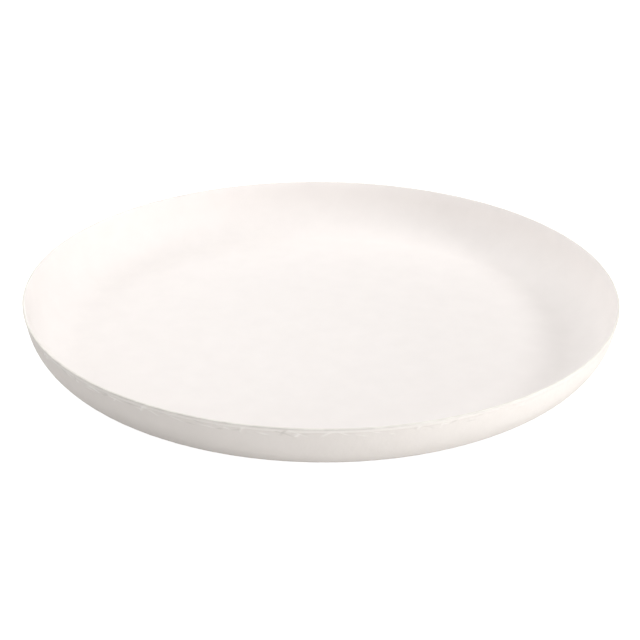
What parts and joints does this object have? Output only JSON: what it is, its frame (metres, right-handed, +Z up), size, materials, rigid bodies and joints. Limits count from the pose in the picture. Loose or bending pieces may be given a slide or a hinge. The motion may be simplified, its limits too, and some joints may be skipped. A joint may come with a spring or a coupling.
{
  "type": "moulded fibre plate",
  "caption": "Round coupe plate pressed from plant fibre, with a flat base, a round bend and a short upright wall with no flange. Holds a serving of food.",
  "frame": {"origin": "centre of the flat base, on the surface that the plate stands on", "axes": "+Z up along the axis of the plate, towards its open side; X and Y lie in the base, and the plate is round about Z"},
  "size_m": [0.23, 0.23, 0.021],
  "materials": {
    "fibre": "matte pressed plant fibre in a warm white, smooth inside, with a fine screen grain outside and a trimmed rim"
  },
  "bodies": {
    "root": {"plate": "fibre"}
  },
  "joints": []
}
